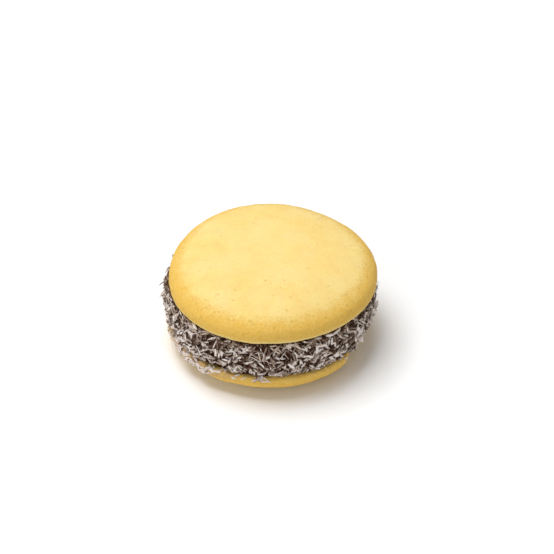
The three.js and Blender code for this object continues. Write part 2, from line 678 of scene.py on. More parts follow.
@dataclass(frozen=True)
class Wear:
    """A stretch of the rim that has crumbled and is stained."""

    side: float  # where the most of it is
    width: float
    depth: float
    clod_size: float = 3.0 * MM
    lump_size: float = 1.2 * MM
    lump_share: float = 0.35
    broken: tuple[float, float] = (-0.3, 0.5)  # where the clods begin to go, and are gone
    grit_size: float = 0.6 * MM
    grit_share: float = 0.08
    stain_drop: float = 5 * MM  # how far down from the flat side the caramel has run
    stain_full: float = 0.3  # the share of that down to which the stain is whole
    stain_rim: tuple[float, float] = (0.9, 0.97)  # the stain begins and is whole this far out

    def bite(self, places: Array, angle: Array) -> Array:
        """Works out how deep the rim has crumbled.

        Args:
            places: Places on the rim.
            angle: Their angles round the biscuit.

        Returns:
            The depth at each place.
        """
        clods = ripple(places, self.clod_size, 1.7)
        clods += self.lump_share * ripple(places, self.lump_size, 4.1)
        gone = smooth_step(*self.broken, clods)
        gone += self.grit_share * ripple(places, self.grit_size, 2.9)
        return self.depth * near(angle, self.side, self.width) * gone

    def stain(self, angle: Array, reach: Array, drop: Array) -> Array:
        """Works out how much has soaked in.

        Args:
            angle: Angles round the biscuit.
            reach: How far out the places lie, as shares of the outline there.
            drop: How far they lie from the flat side.

        Returns:
            How stained each place is, from 0 to 1.
        """
        wet = smooth_step(self.stain_drop, self.stain_full * self.stain_drop, drop)
        return wet * smooth_step(*self.stain_rim, reach) * near(angle, self.side, self.width)


@dataclass(frozen=True)
class Chip:
    """A stretch of the rim that has broken off, so that the coat hangs over it."""

    side: float  # where the middle of it is
    width: float
    depth: float
    ends: tuple[float, float] = (0.15, 0.55)  # closer together makes its ends steeper
    rough: float = 0.3  # of its depth
    rough_size: float = 1.6 * MM

    def bite(self, places: Array, angle: Array) -> Array:
        """Works out how much of the rim is gone.

        Args:
            places: Places on the rim.
            angle: Their angles round the biscuit.

        Returns:
            How far in each place has moved.
        """
        gone = smooth_step(*self.ends, near(angle, self.side, self.width))
        return self.depth * gone * (1.0 + self.rough * ripple(places, self.rough_size, 6.3))


@dataclass
class Biscuit:
    """One soft domed biscuit, flat side in.

    `up` is 1 with the dome on top and -1 with it underneath.
    """

    node: str
    finish: BiscuitFinish
    outline: Outline
    round: float
    crown: float
    up: int
    phase: float
    pores: Pores
    wear: Wear | None = None
    chip: Chip | None = None
    rest_spot: float = 0.0
    rim_start: float = 0.72  # the share of the radius where the rim's roughness begins
    lumps: float = 0.12 * MM  # how lumpy the rim is
    lump_size: float = 3.2 * MM
    browned: tuple[float, float] = (0.74, 1.0)  # browning begins and is whole this far out
    browning: float = 1.4  # more keeps it nearer the rim
    pale_and_lit_edge: float = 0.9  # how much less browned the edge by its flat side is: partly a less baked underside, partly a painted highlight along it
    pale_and_lit_reach: tuple[float, float] = (2.0 * MM, 0.6 * MM)  # where that ends, and is whole
    rest_fade: float = 0.5 * MM  # the crust is smoothed down to nothing this near the floor
    cells: int = 300
    roll_depth: float = 0.09 * MM
    roll_length: float = 24 * MM
    roll_waves: int = 5
    roll_quickening: float = 0.3
    dome: Dome = field(init=False)
    middle: Array = field(init=False)
    face: float = field(init=False)

    def __post_init__(self) -> None:
        """Takes the biscuit's place and size from its box in the frame."""
        low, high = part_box(self.node)
        radius, self.middle = self.outline.fit(low, high)
        height = high.z - low.z - (0.0 if self.rest_spot else self.roll_depth)
        self.dome = Dome(radius, height, self.round, self.crown)
        self.face = low.z if self.up > 0 else high.z

    def roll(self, x: Array, y: Array) -> Array:
        """Works out the gentle rise and fall of the baked dome.

        Args:
            x: Places across the biscuit, from its middle.
            y: The same places the other way.

        Returns:
            How much higher the dome is at each place.
        """
        height = np.zeros_like(x)
        for k in range(self.roll_waves):
            heading = k * GOLDEN_ANGLE + self.phase
            length = self.roll_length / (1 + self.roll_quickening * k)
            along = x * math.cos(heading) + y * math.sin(heading)
            height += np.sin(2 * math.pi * along / length + k + self.phase) / (1 + k)
        return self.roll_depth * height

    def build(self, effects: Effects) -> bpy.types.Object:
        """Models the biscuit and dresses it.

        Args:
            effects: The shared node groups.

        Returns:
            The piece that stands for the biscuit's CAD node.
        """
        form = bmesh.new()
        bmesh.ops.create_grid(form, x_segments=self.cells, y_segments=self.cells, size=1.0)
        flat = np.array([v.co for v in form.verts])
        ring = np.abs(flat[:, :2]).max(1)
        places = self.wrap(flat[:, 0], flat[:, 1], ring)
        for vertex, place in zip(form.verts, places):
            vertex.co = place
        if self.up < 0:
            bmesh.ops.reverse_faces(form, faces=form.faces)
        form.normal_update()
        baked = self.baking(places)
        pore_shade = self.crust(form, places)
        self.close(form)
        mesh = bpy.data.meshes.new(self.node + "_baked")
        form.to_mesh(mesh)
        form.free()
        spare = len(mesh.vertices) - len(baked)
        write_attribute(mesh, "baked", np.append(baked, np.zeros(spare)))
        # The pits' share, which the finish paints darker as shade in them.
        write_attribute(mesh, "pore_shade", np.append(pore_shade, np.zeros(spare)))
        write_attribute(mesh, "stained", np.append(self.staining(places), np.zeros(spare)))
        mesh.shade_smooth()
        piece = as_piece(mesh, self.finish.material(effects), Slot.BISCUIT)
        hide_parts(self.node)
        return piece

    def around(self, places: Array) -> tuple[Array, Array]:
        """Finds places on the biscuit as seen from above.

        Args:
            places: Places in the sandwich.

        Returns:
            Each one's angle, and how far out it lies as a share of the outline there.
        """
        x, y = places[:, 0] - self.middle[0], places[:, 1] - self.middle[1]
        angle = np.arctan2(y, x)
        return angle, np.hypot(x, y) / (self.dome.radius * self.outline.share(angle))

    def baking(self, places: Array) -> Array:
        """Works out how browned the crust is: the rim the most, and its edge by the flat side the
        least, partly as a less baked underside and partly as a painted highlight.

        Args:
            places: Places on the crust.

        Returns:
            How browned each place is, from 0 to 1.
        """
        _, reach = self.around(places)
        # Paler near the flat side: partly a less baked underside, partly a painted highlight along
        # the edge.
        near_face = smooth_step(*self.pale_and_lit_reach, np.abs(places[:, 2] - self.face))
        browned = smooth_step(*self.browned, reach) ** self.browning
        return browned * (1.0 - self.pale_and_lit_edge * near_face)

    def staining(self, places: Array) -> Array:
        """Works out how much caramel and coconut oil have soaked into the crust.

        Args:
            places: Places on the crust.

        Returns:
            How stained each place is, from 0 to 1.
        """
        if self.wear is None:
            return np.zeros(len(places))
        return self.wear.stain(*self.around(places), np.abs(places[:, 2] - self.face))

    def wrap(self, across_x: Array, across_y: Array, ring: Array) -> Array:
        """Lays a square sheet of vertices over the dome.

        Args:
            across_x: Each vertex's place across the sheet, from -1 to 1.
            across_y: Its place the other way.
            ring: Which square ring of the sheet it is on, from 0 to 1.

        Returns:
            Each vertex's place in the sandwich.
        """
        steps = self.cells // 2
        out, rise = self.dome.profile(steps)
        step = np.rint(ring * steps).astype(int)
        size = np.where(ring > 0, ring, 1.0)
        right, ahead = np.sign(across_x), np.sign(across_y)
        turned = np.where(
            np.abs(across_x) >= np.abs(across_y),
            np.where(across_x < 0, math.pi, 0.0) + across_y / size * right * math.pi / 4,
            ahead * math.pi / 2 - across_x / size * ahead * math.pi / 4,
        )
        reach = out[step] * self.outline.share(turned)
        x, y = reach * np.cos(turned), reach * np.sin(turned)
        depth = rise[step]
        resting = (out[step] < self.rest_spot) & (depth > 0)
        depth = np.where(resting, self.dome.height, depth)
        rolled = depth + np.where(resting, 0.0, depth / self.dome.height * self.roll(x, y))
        return np.stack([x + self.middle[0], y + self.middle[1], self.face + self.up * rolled], 1)

    def crust(self, form: bmesh.types.BMesh, places: Array) -> Array:
        """Roughens the surface, crumbles and chips the rim and presses the pores in.

        Args:
            form: The biscuit so far, with its normals up to date.
            places: Each vertex's place.

        Returns:
            How deep in a pit each vertex lies, from 0 to 1; the finish paints pits darker as shade
            in them.
        """
        outward = np.array([v.normal for v in form.verts])
        angle, reach = self.around(places)
        rim = smooth_step(self.rim_start, 1.0, reach)
        relief = np.zeros(len(places))
        for wave in (*CRUST, Relief(self.lump_size, 7.0, 0.0, self.lumps)):
            height = wave.crown + wave.rim * rim
            relief += height * ripple(places, wave.length, self.phase + wave.seed)
        if self.wear is not None:
            relief -= rim * self.wear.bite(places, angle)
        inside, deep = self.pits(places)
        relief -= deep
        if self.rest_spot:
            relief *= smooth_step(0.0, self.rest_fade, places[:, 2])
        moved = places + outward * relief[:, None]
        if self.chip is not None:
            gone = rim * self.chip.bite(places, angle)
            moved[:, 0] -= np.cos(angle) * gone
            moved[:, 1] -= np.sin(angle) * gone
        for vertex, place in zip(form.verts, moved):
            vertex.co = place
        return inside

    def pits(self, places: Array) -> tuple[Array, Array]:
        """Scatters pores over the dome.

        Args:
            places: The dome's vertices.

        Returns:
            How far inside a pore each vertex is, from 0 to 1, and how deep it lies there.
        """
        draw = np.random.default_rng(int(100 * self.phase) + PORE_SEED)
        tree = KDTree(len(places))
        for number, place in enumerate(places):
            tree.insert(place, number)
        tree.balance()
        out = self.dome.radius * draw.random(self.pores.count) ** (0.5 / self.pores.rimward)
        angle = draw.uniform(0, 2 * math.pi, self.pores.count)
        size = draw.uniform(*self.pores.size, self.pores.count)
        inside, depth = np.zeros(len(places)), np.zeros(len(places))
        level = self.face + self.up * self.dome.height
        for reach, turn, radius in zip(out, angle, size):
            above = Vector((reach * math.cos(turn), reach * math.sin(turn), level))
            spot, _, _ = tree.find(above)
            for _, number, away in tree.find_range(spot, radius):
                share = (1 - (away / radius) ** 2) ** 2
                inside[number] = max(inside[number], share)
                depth[number] = max(depth[number], share * radius * self.pores.depth)
        return inside, depth

    def close(self, form: bmesh.types.BMesh) -> None:
        """Closes the flat side with one fan of faces.

        Args:
            form: The biscuit, open at its flat side.
        """
        border = [edge for edge in form.edges if edge.is_boundary]
        made = bmesh.ops.edgeloop_fill(form, edges=border)
        bmesh.ops.poke(form, faces=made["faces"])
        bmesh.ops.recalc_face_normals(form, faces=form.faces)


# ---------------------------------------------------------------- caramel


@dataclass
class Filling:
    """The disc of milk caramel, seen wherever the coconut leaves a gap."""

    finish: CaramelFinish
    under_coat: float = 0.85 * MM  # how far its side lies inside the coconut's outside
    barrel: float = 1.2 * MM
    barrel_power: float = 2.5
    lump: float = 0.22 * MM
    lumps: tuple[tuple[float, float], ...] = ((3.4 * MM, 1.0), (1.3 * MM, 0.5), (0.7 * MM, 0.4))
    tuck: float = 0.15 * MM  # how far it reaches into each biscuit
    columns: int = 480
    rows: int = 48
    low: float = field(init=False)
    high: float = field(init=False)
    widest: float = field(init=False)

    def __post_init__(self) -> None:
        """Takes the filling's levels and the coat's radius from the frame."""
        low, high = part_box("coconut_coat")
        self.low, self.high = low.z, high.z
        self.widest = (high.x - low.x + high.y - low.y) / 4

    def side(self, level: Array) -> Array:
        """Radius of the coconut's outside at each level."""
        share = np.clip((level - self.low) / (self.high - self.low), 0.0, 1.0)
        return self.widest - self.barrel * np.abs(2 * share - 1) ** self.barrel_power

    def aimed(self, angle: Array, level: Array, tip: Array) -> tuple[Array, Array]:
        """Finds places on the coconut's outside, and the ways to press things in there.

        Args:
            angle: The places' angles round the sandwich.
            level: Their levels.
            tip: How steeply down things are pressed, in radians.

        Returns:
            The places, and the directions inwards.
        """
        outward = np.stack([np.cos(angle), np.sin(angle), np.zeros_like(angle)], 1)
        inward = -outward * np.cos(tip)[:, None]
        inward[:, 2] = -np.sin(tip)
        target = outward * self.side(level)[:, None]
        target[:, 2] = level
        return target, inward

    def build(self, effects: Effects) -> bpy.types.Object:
        """Models the caramel and dresses it.

        Args:
            effects: The shared node groups.

        Returns:
            The piece that stands for the filling's CAD node.
        """
        levels = np.linspace(self.low - self.tuck, self.high + self.tuck, self.rows + 1)
        form = bmesh.new()
        radii = self.side(levels) - self.under_coat
        rows = [form.verts.new((radius, 0.0, level)) for radius, level in zip(radii, levels)]
        edges = [form.edges.new(pair) for pair in zip(rows, rows[1:])]
        bmesh.ops.spin(
            form,
            geom=rows + edges,
            cent=(0, 0, 0),
            axis=(0, 0, 1),
            angle=2 * math.pi,
            steps=self.columns,
            use_merge=True,
        )
        middle = (self.low + self.high) / 2
        open_edges = [edge for edge in form.edges if edge.is_boundary]
        for upper in (False, True):
            border = [edge for edge in open_edges if (edge.verts[0].co.z > middle) == upper]
            made = bmesh.ops.edgeloop_fill(form, edges=border)
            bmesh.ops.poke(form, faces=made["faces"])
        bmesh.ops.recalc_face_normals(form, faces=form.faces)
        self.knead(form)
        mesh = bpy.data.meshes.new("caramel_core")
        form.to_mesh(mesh)
        form.free()
        mesh.shade_smooth()
        piece = as_piece(mesh, self.finish.material(effects), Slot.CARAMEL)
        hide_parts("caramel_filling")
        return piece

    def knead(self, form: bmesh.types.BMesh) -> None:
        """Makes the side lumpy, as spread caramel is.

        Args:
            form: The disc.
        """
        places = np.array([v.co for v in form.verts])
        out = np.hypot(places[:, 0], places[:, 1])
        lumps = sum(
            share * ripple(places, size, seed) for seed, (size, share) in enumerate(self.lumps, 1)
        )
        wide = out + self.lump * lumps
        for vertex, place, old, new in zip(form.verts, places, out, wide):
            if old > self.widest / 2:
                vertex.co = (place[0] * new / old, place[1] * new / old, place[2])


# ---------------------------------------------------------------- coconut


class Pile:
    """What the coconut is pressed onto. Each layer of it joins the pile in turn."""

    def __init__(self, pieces: list[bpy.types.Object]) -> None:
        """Starts with these pieces."""
        graph = bpy.context.evaluated_depsgraph_get()
        self.layers = [BVHTree.FromObject(piece, graph) for piece in pieces]

    def press(self, places: Array, faces: Array) -> None:
        """Adds a layer of meshes.

        Args:
            places: Its vertices, one row each.
            faces: Its faces, a row of vertex numbers each.
        """
        self.layers.append(BVHTree.FromPolygons(places.tolist(), faces.tolist()))

    def depth(self, start: Array, inward: Array, most: float) -> float:
        """How far a ray goes before it meets the pile, or NaN if it meets nothing."""
        hits = [layer.ray_cast(Vector(start), Vector(inward), most)[3] for layer in self.layers]
        return min((hit for hit in hits if hit is not None), default=math.nan)


@dataclass(frozen=True)
class Template:
    """A small shape that is repeated: unit vertices, and its faces as triangles."""

    places: Array
    faces: Array

    @classmethod
    def strip(cls, along: int, wide: int) -> "Template":
        """A bar of length, width and thickness 1.

        Args:
            along: How many cuts there are along its length.
            wide: How many there are across its width.

        Returns:
            The bar, centred on the origin, with its length along X.
        """
        form = bmesh.new()
        bmesh.ops.create_cube(form, size=1.0)
        for axis, cuts in ((0, along), (1, wide)):
            if cuts:
                runs = [abs(e.verts[0].co[axis] - e.verts[1].co[axis]) for e in form.edges]
                edges = [e for e, run in zip(form.edges, runs) if run > 0.5]
                bmesh.ops.subdivide_edges(form, edges=edges, cuts=cuts, use_grid_fill=True)
        # Along, sideways and outwards, a bit's own axes are left-handed.
        bmesh.ops.reverse_faces(form, faces=form.faces)
        return cls.taken(form)

    @classmethod
    def lump(cls) -> "Template":
        """A rough ball of radius 1."""
        form = bmesh.new()
        bmesh.ops.create_icosphere(form, subdivisions=1, radius=1.0)
        return cls.taken(form)

    @classmethod
    def taken(cls, form: bmesh.types.BMesh) -> "Template":
        """Reads a finished bmesh and frees it.

        Args:
            form: The shape.

        Returns:
            The same shape as a template.
        """
        bmesh.ops.triangulate(form, faces=form.faces)
        form.verts.index_update()
        places = np.array([v.co for v in form.verts])
        faces = np.array([[v.index for v in face.verts] for face in form.faces])
        form.free()
        return cls(places, faces)

    def repeated(self, count: int) -> Array:
        """The faces of `count` copies in a row."""
        steps = np.arange(count)[:, None, None] * len(self.places)
        return (self.faces[None] + steps).reshape(-1, 3)


@dataclass(frozen=True)
class Bits:
    """One kind of coconut bit: how many there are, and their least and greatest sizes."""

    name: str
    count: int
    length: tuple[float, float]
    shortness: float  # more makes more of them short
    width: tuple[float, float]
    thickness: tuple[float, float]
    cuts: tuple[int, int]
    bend: float  # how far its middle bows sideways, as a share of its length
    roll: float  # how far bits tip sideways, in radians
    twist: float  # from end to end, in radians
    taper: float  # the most that an end is narrowed by
    torn: float  # how unevenly its edges are torn, as a share of its width
    lift: float  # the share of bits with an end that stands off
    tone: tuple[float, float]  # from soaked to dry
    layers: int = 1
    spills: bool = True  # whether some of them lie over the lower biscuit's edge


@dataclass
class Scatter:
    """The places, sizes and turns of a layer's bits, one entry or row each."""

    target: Array
    inward: Array
    along: Array
    length: Array
    spilt: Array


@dataclass(frozen=True)
class Spill:
    """Where coconut and crumbs lie over the lower biscuit's edge, and how many."""

    share: float = 0.055  # of all the bits
    gathered: float = 0.8  # the share of those that lie at one side
    side: float = math.radians(214)
    width: float = math.radians(30)
    drop: float = 0.9 * MM  # how far down they lie
    more_drop: float = 3.2 * MM  # and this much further at that side

    def angles(self, count: int, draw: np.random.Generator) -> Array:
        """Chooses where round the biscuit some spilt bits lie.

        Args:
            count: How many there are.
            draw: Where its chance comes from.

        Returns:
            Each one's angle.
        """
        beside = draw.normal(self.side, self.width / math.sqrt(2), count)
        anywhere = draw.uniform(0, 2 * math.pi, count)
        return np.where(draw.random(count) < self.gathered, beside, anywhere)

    def depth(self, angle: Array) -> Array:
        """How far below the lower biscuit's face they reach at each angle."""
        return self.drop + self.more_drop * near(angle, self.side, self.width)


@dataclass
class Coat:
    """Grated coconut pressed round the caramel, and spilt over the lower biscuit's edge."""

    filling: Filling
    finish: CoconutFinish
    kinds: tuple[Bits, ...]
    spill: Spill
    head_room: float = 0.12 * MM  # between the shreds and the upper biscuit
    foot_room: float = 0.1 * MM  # and over the lower one's face
    crowding: tuple[float, float] = (1.0, 0.85)  # under 1 crowds them to the lower and upper edge
    soaking: float = 1.15  # more keeps the layers under the last one darker
    top_darkening: float = 0.38  # how much darker and browner the bits by the upper biscuit are
    top_darkening_reach: float = 8 * MM
    damp_edge: float = 0.35  # how much less dry a bit's edges are than its middle
    streaks: float = 0.1  # how much the dryness varies along a bit
    spilt_tone: tuple[float, float] = (0.6, 0.95)
    spilt_tip: float = 0.7  # the steepest that spilt bits press down, in radians
    spilt_lean: float = 0.5  # the share of its length that a spilt bit may stand upright
    least_lean: float = 0.1  # and that any other one may
    curl: tuple[float, float] = (-30.0, 12.0)  # how sharply bits bend over the pile, per metre
    slope: float = 0.5  # how steeply they lean against it
    stiffness: float = 0.55  # 1 rests them on the highest spots under them, 0 halfway down
    lifted: tuple[float, float] = (0.2, 0.7)  # how steeply the ends that stand off do so
    skew: float = 0.7  # how slanting their ends are torn
    proud: float = 0.3  # of their thickness, between the pile and their middle
    thinning: float = 0.5  # how much of its taper a bit's thickness follows

    def build(self, pile: Pile, effects: Effects) -> list[bpy.types.Object]:
        """Presses every kind of bit on, layer by layer.

        Args:
            pile: What they come to rest on.
            effects: The shared node groups.

        Returns:
            One piece for each kind.
        """
        draw = np.random.default_rng(COAT_SEED)
        material = self.finish.material(effects)
        pieces = []
        for kind in self.kinds:
            template = Template.strip(*kind.cuts)
            layers = [self.layer(kind, level, template, pile, draw) for level in range(kind.layers)]
            mesh = joined(kind.name, template, [places for places, _ in layers])
            tones = np.concatenate([tone for _, tone in layers])
            edge = np.abs(2 * template.places[:, 1]) - 0.5
            tones = tones[:, None] - self.damp_edge * edge
            tones += draw.normal(0.0, self.streaks, tones.shape)
            write_attribute(mesh, "tone", tones.ravel())
            pieces.append(as_piece(mesh, material, Slot.COCONUT))
        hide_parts("coconut_coat")
        return pieces

    def layer(
        self, kind: Bits, level: int, template: Template, pile: Pile, draw: np.random.Generator
    ) -> tuple[Array, Array]:
        """Lays one layer of one kind and adds it to the pile. The first ones are soaked.

        Args:
            kind: What it is made of.
            level: Which of the kind's layers it is.
            template: The shape of a bit.
            pile: What it comes to rest on.
            draw: Where its chance comes from.

        Returns:
            Each bit's vertices, and each bit's tone.
        """
        count = kind.count // kind.layers
        bits = self.scatter(kind, count, draw)
        spines, kept = self.settle(bits, kind, pile, draw)
        places = self.shape(kind, template, bits, spines, kept, draw)
        tone = draw.uniform(*kind.tone, len(places))
        tone *= ((level + 1) / kind.layers) ** self.soaking
        top = self.filling.high
        # The bits are made darker towards the upper biscuit.
        near_face = smooth_step(top - self.top_darkening_reach, top, bits.target[kept, 2])
        tone *= 1.0 - self.top_darkening * near_face
        bared = np.maximum(tone, draw.uniform(*self.spilt_tone, len(tone)))
        tone = np.where(bits.spilt[kept], bared, tone)
        pile.press(places.reshape(-1, 3), template.repeated(len(places)))
        return places, tone

    def scatter(self, kind: Bits, count: int, draw: np.random.Generator) -> Scatter:
        """Chooses where a layer's bits go and which way they lie.

        Args:
            kind: What the layer is made of.
            count: How many bits it has.
            draw: Where its chance comes from.

        Returns:
            The bits, over the surface that they are to be pressed onto.
        """
        least, most = kind.length
        length = least + (most - least) * draw.random(count) ** kind.shortness
        spilt = kind.spills & (draw.random(count) < self.spill.share)
        angle = np.where(spilt, self.spill.angles(count, draw), draw.uniform(0, 2 * math.pi, count))
        low = self.filling.low
        bottom, top = low + self.foot_room, self.filling.high - self.head_room
        level = bottom + (top - bottom) * draw.beta(*self.crowding, count)
        room = np.minimum(top - level, level - bottom)
        steep = np.clip(2 * room / length, self.least_lean, 1.0)
        level = np.where(spilt, low - self.spill.depth(angle) * draw.random(count), level)
        tip = np.where(spilt, draw.uniform(0.0, self.spilt_tip, count), 0.0)
        steep = np.where(spilt, self.spilt_lean, steep)
        lean = np.arcsin(steep * np.sin(draw.uniform(-math.pi / 2, math.pi / 2, count)))
        target, inward = self.filling.aimed(angle, level, tip)
        around = np.stack([-np.sin(angle), np.cos(angle), np.zeros(count)], 1)
        upward = -across(inward, around)
        along = around * np.cos(lean)[:, None] + upward * np.sin(lean)[:, None]
        return Scatter(target, inward, along, length, spilt)

    def settle(
        self, bits: Scatter, kind: Bits, pile: Pile, draw: np.random.Generator
    ) -> tuple[Array, Array]:
        """Lets each bit sink until it rests on the pile.

        Args:
            bits: The bits.
            kind: What kind they are.
            pile: What they come to rest on.
            draw: Where its chance comes from.

        Returns:
            Each bit's height over its target as a curve along its length, highest
            power first, and which bits found something to rest on.
        """
        spots = np.linspace(-0.5, 0.5, STATIONS)
        spines = np.zeros((len(bits.length), 3))
        kept = np.zeros(len(bits.length), bool)
        for number, (target, inward, along, length) in enumerate(
            zip(bits.target, bits.inward, bits.along, bits.length)
        ):
            starts = target + along * (spots * length)[:, None] - inward * REACH
            heights = REACH - np.array([pile.depth(start, inward, 2 * REACH) for start in starts])
            met = np.isfinite(heights)
            if met.sum() < STATIONS - 1:
                continue
            curve = np.polyfit(spots[met] * length, heights[met], 2)
            curve[0] = np.clip(curve[0], *self.curl)
            curve[1] = np.clip(curve[1], -self.slope, self.slope)
            rest = heights[met] - np.polyval(curve, spots[met] * length)
            curve[2] += self.stiffness * rest.max() + (1 - self.stiffness) * rest.mean()
            spines[number] = curve
            kept[number] = True
        lifted = draw.random(len(kept)) < kind.lift
        end = draw.choice([-1.0, 1.0], lifted.sum())
        spines[lifted, 1] += end * draw.uniform(*self.lifted, lifted.sum())
        return spines, kept

    def shape(
        self,
        kind: Bits,
        template: Template,
        bits: Scatter,
        spines: Array,
        kept: Array,
        draw: np.random.Generator,
    ) -> Array:
        """Bends a copy of the template along each bit's spine.

        Args:
            kind: What kind the bits are.
            template: The shape of a bit.
            bits: The bits.
            spines: Each one's height along its length, as `settle` gives it.
            kept: Which of them are made.
            draw: Where its chance comes from.

        Returns:
            The vertices of every bit that was kept, as (bit, vertex, axis).
        """
        count = int(kept.sum())
        target, inward, along = bits.target[kept], bits.inward[kept], bits.along[kept]
        length, spine = bits.length[kept][:, None], spines[kept]
        width = draw.uniform(*kind.width, count)[:, None]
        thick = draw.uniform(*kind.thickness, count)[:, None]
        bow = draw.normal(0.0, kind.bend, count)[:, None]
        roll = draw.normal(0.0, kind.roll, count)[:, None]
        turn = draw.normal(0.0, kind.twist, count)[:, None]
        skew = draw.normal(0.0, self.skew, count)[:, None]
        sideways = across(inward, along)

        x, y, z = template.places.T
        ends = np.abs(2 * x)[None]
        taper = np.where(x < 0, *draw.uniform(0.0, kind.taper, (2, count))[..., None])
        ragged = 1.0 + draw.uniform(-kind.torn, kind.torn, (count, len(x)))
        narrow = (1.0 - taper * ends**2) * ragged
        over = x[None] * length * ragged + skew * y[None] * width * ends
        bend = bow * length * (1.0 - ends**2)
        height = spine[:, 0:1] * over**2 + spine[:, 1:2] * over + spine[:, 2:3]
        height += self.proud * thick
        wide = y[None] * width * narrow
        deep = z[None] * thick * (1.0 - self.thinning * taper * ends**2)
        spin = roll + turn * x[None]
        side = wide * np.cos(spin) - deep * np.sin(spin) + bend
        rise = wide * np.sin(spin) + deep * np.cos(spin) + height
        return (
            target[:, None]
            + along[:, None] * over[..., None]
            + sideways[:, None] * side[..., None]
            - inward[:, None] * rise[..., None]
        )


def joined(name: str, template: Template, layers: list[Array]) -> bpy.types.Mesh:
    """Joins many bent copies of one template into a mesh.

    Args:
        name: The mesh's name.
        template: What was copied.
        layers: The copies' vertices, as (copy, vertex, axis) for each layer.

    Returns:
        The mesh, in place.
    """
    places = np.concatenate(layers)
    mesh = bpy.data.meshes.new(name)
    mesh.from_pydata(places.reshape(-1, 3).tolist(), [], template.repeated(len(places)).tolist())
    mesh.update()
    return mesh


@dataclass(frozen=True)
class Lumps:
    """One kind of small loose lump: how many there are, how large, and where they lie."""

    name: str
    count: int
    size: tuple[float, float]  # least and greatest radius
    stretch: tuple[float, float]  # least and greatest share of that, along each axis
    heights: tuple[float, float]  # over the lower biscuit's face
    gathered: float  # the share that lies about where most is spilt
    slot: Slot
    attribute: str  # the number that its finish reads
    values: tuple[float, float]


@dataclass
class Loose:
    """Coconut grains and biscuit crumbs caught in the coat and on the ledge under it."""

    filling: Filling
    spill: Spill
    sunk: float = 0.4  # how much of its radius a lump is pressed in by
    rough: float = 0.4
    worn: tuple[float, float] = (0.6, 1.0)  # how much of their size they have left
    tip: tuple[float, float] = (0.1, 0.7)  # how steeply they press on the lower biscuit's edge

    def build(
        self, kind: Lumps, material: bpy.types.Material, pile: Pile, draw: np.random.Generator
    ) -> bpy.types.Object:
        """Scatters one kind of lump over the pile.

        Args:
            kind: What to scatter.
            material: Its finish.
            pile: What it comes to rest on.
            draw: Where its chance comes from.

        Returns:
            One piece that holds all of them.
        """
        template = Template.lump()
        spots = self.places(kind, pile, draw)
        count = len(spots)
        size = draw.uniform(*kind.size, count) * draw.uniform(*self.worn, count)
        stretch = draw.uniform(*kind.stretch, (count, 1, 3))
        ragged = 1.0 + draw.uniform(-self.rough, self.rough, (count, len(template.places), 1))
        shapes = template.places[None] * ragged * stretch * size[:, None, None]
        turns = np.linalg.qr(draw.normal(size=(count, 3, 3)))[0]
        turns[np.linalg.det(turns) < 0] *= -1
        places = np.einsum("nij,nvj->nvi", turns, shapes) + spots[:, None]
        mesh = joined(kind.name, template, [places])
        values = draw.uniform(*kind.values, count)
        write_attribute(mesh, kind.attribute, np.repeat(values, len(template.places)))
        return as_piece(mesh, material, kind.slot)

    def places(self, kind: Lumps, pile: Pile, draw: np.random.Generator) -> Array:
        """Chooses where lumps come to rest.

        Args:
            kind: What kind they are.
            pile: What they come to rest on.
            draw: Where its chance comes from.

        Returns:
            The middle of each lump that meets the pile.
        """
        count = kind.count
        angle = replace(self.spill, gathered=kind.gathered).angles(count, draw)
        level = self.filling.low + draw.uniform(*kind.heights, count)
        tip = np.where(level < self.filling.low, draw.uniform(*self.tip, count), 0.0)
        target, inward = self.filling.aimed(angle, level, tip)
        starts = target - inward * REACH
        depth = np.array([pile.depth(start, way, 2 * REACH) for start, way in zip(starts, inward)])
        met = np.isfinite(depth)
        rest = depth - (1 - 2 * self.sunk) * sum(kind.size) / 2
        return (starts + inward * rest[:, None])[met]


# ---------------------------------------------------------------- studio


@dataclass(frozen=True)
class Lamp:
    """A square soft light that faces the sandwich."""

    name: str
    place: tuple[float, float, float]
    size: float
    power: float

    def hang(self) -> None:
        """Puts the lamp in the scene."""
        light = bpy.data.lights.new(self.name, "AREA")
        light.size = self.size
        light.energy = self.power
        holder = bpy.data.objects.new(self.name, light)
        holder.location = self.place
        holder.rotation_mode = "QUATERNION"
        holder.rotation_quaternion = (-Vector(self.place)).to_track_quat("-Z", "Y")
        bpy.context.scene.collection.objects.link(holder)


